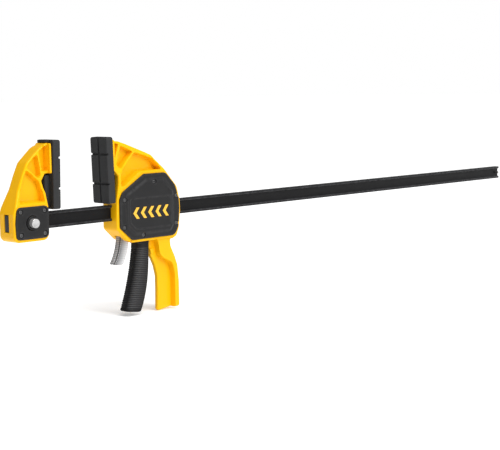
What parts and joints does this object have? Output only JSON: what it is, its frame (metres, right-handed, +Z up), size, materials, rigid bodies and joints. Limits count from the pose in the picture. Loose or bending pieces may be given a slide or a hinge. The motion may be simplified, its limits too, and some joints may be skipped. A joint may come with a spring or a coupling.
{
  "type": "one-handed bar clamp",
  "caption": "Trigger-driven bar clamp: a fixed jaw on an I-section bar and a sliding pistol-grip jaw with padded faces.",
  "frame": {"origin": "on the bar's top face at mid-thickness, under the fixed pad's gripping face", "axes": "+X along the bar away from the fixed jaw, +Z up towards the pads, -Y on the side of the lock button's head"},
  "size_m": [1.125, 0.0485, 0.2565],
  "materials": {
    "yellow_body": "satin glass-filled moulding",
    "black_plastic": "fine matt texture",
    "pad_rubber": "matt",
    "grip_rubber": "matt, finely ribbed",
    "black_steel": "blackened, satin",
    "screw_steel": "black zinc",
    "bright_metal": "satin",
    "cast_metal": "satin cast",
    "spring_steel": "drawn"
  },
  "bodies": {
    "bar_and_fixed_jaw": {"fixed_jaw_body": "yellow_body", "fixed_jaw_front_cover": "black_plastic", "fixed_jaw_back_cover": "black_plastic", "fixed_front_screw_upper_left": "screw_steel", "fixed_front_screw_upper_right": "screw_steel", "fixed_front_screw_lower_left": "screw_steel", "fixed_front_screw_lower_right": "screw_steel", "fixed_back_screw_upper_left": "screw_steel", "fixed_back_screw_upper_right": "screw_steel", "fixed_back_screw_lower_left": "screw_steel", "fixed_back_screw_lower_right": "screw_steel", "fixed_pad": "pad_rubber", "bar": "black_steel", "bar_stop_pin": "spring_steel", "button_collar": "black_plastic", "clip_collar": "black_plastic", "button_spring": "spring_steel"},
    "lock_button": {"release_button": "bright_metal", "button_clip": "spring_steel"},
    "sliding_jaw": {"housing_body": "yellow_body", "housing_front_cover": "black_plastic", "housing_back_cover": "black_plastic", "housing_front_screw_top": "screw_steel", "housing_front_screw_left_upper": "screw_steel", "housing_front_screw_left_lower": "screw_steel", "housing_front_screw_bottom": "screw_steel", "housing_front_screw_right_upper": "screw_steel", "housing_front_screw_right_lower": "screw_steel", "housing_back_screw_top": "screw_steel", "housing_back_screw_left_upper": "screw_steel", "housing_back_screw_left_lower": "screw_steel", "housing_back_screw_bottom": "screw_steel", "housing_back_screw_right_upper": "screw_steel", "housing_back_screw_right_lower": "screw_steel", "sliding_pad": "pad_rubber", "drive_trigger_pin": "spring_steel", "release_trigger_pin": "spring_steel", "drive_spring": "spring_steel", "brake_spring": "spring_steel", "bar_guide_front": "black_plastic", "bar_guide_rear": "black_plastic"},
    "drive_trigger_lever": {"drive_trigger": "black_plastic", "drive_trigger_grip": "grip_rubber"},
    "drive_plates": {"drive_plate_1": "black_steel", "drive_plate_2": "black_steel", "drive_plate_3": "black_steel"},
    "release_lever": {"release_trigger": "cast_metal"},
    "brake": {"brake_plate": "black_steel"}
  },
  "joints": [
    {"name": "jaw_slide", "type": "slide", "parent": "bar_and_fixed_jaw", "child": "sliding_jaw", "axis": [1, 0, 0], "range_m": [-0.0755, 0.82]},
    {"name": "button_press", "type": "slide", "parent": "bar_and_fixed_jaw", "child": "lock_button", "axis": [0, 1, 0], "range_m": [0, 0.004], "stiffness_N_per_m": 600, "deforming": ["button_spring"]},
    {"name": "drive_squeeze", "type": "hinge", "parent": "sliding_jaw", "child": "drive_trigger_lever", "pos_m": [0.146, 0, -0.036], "axis": [0, -1, 0], "range_deg": [0, 8.5], "stiffness_Nm_per_rad": 1.5},
    {"name": "drive_push", "type": "slide", "parent": "sliding_jaw", "child": "drive_plates", "axis": [1, 0, 0], "range_m": [0, 0.0018], "deforming": ["drive_spring"]},
    {"name": "release_squeeze", "type": "hinge", "parent": "sliding_jaw", "child": "release_lever", "pos_m": [0.116, 0, -0.043], "axis": [0, -1, 0], "range_deg": [0, 12], "stiffness_Nm_per_rad": 0.6},
    {"name": "brake_tilt", "type": "hinge", "parent": "sliding_jaw", "child": "brake", "pos_m": [0.11525, 0, -0.0335], "axis": [0, -1, 0], "range_deg": [0, 1.6], "deforming": ["brake_spring"]}
  ],
  "couplings": [
    {"joint": "drive_push", "follows": "drive_squeeze", "m_per_rad": 0.01},
    {"joint": "brake_tilt", "follows": "release_squeeze", "ratio": 0.12}
  ]
}
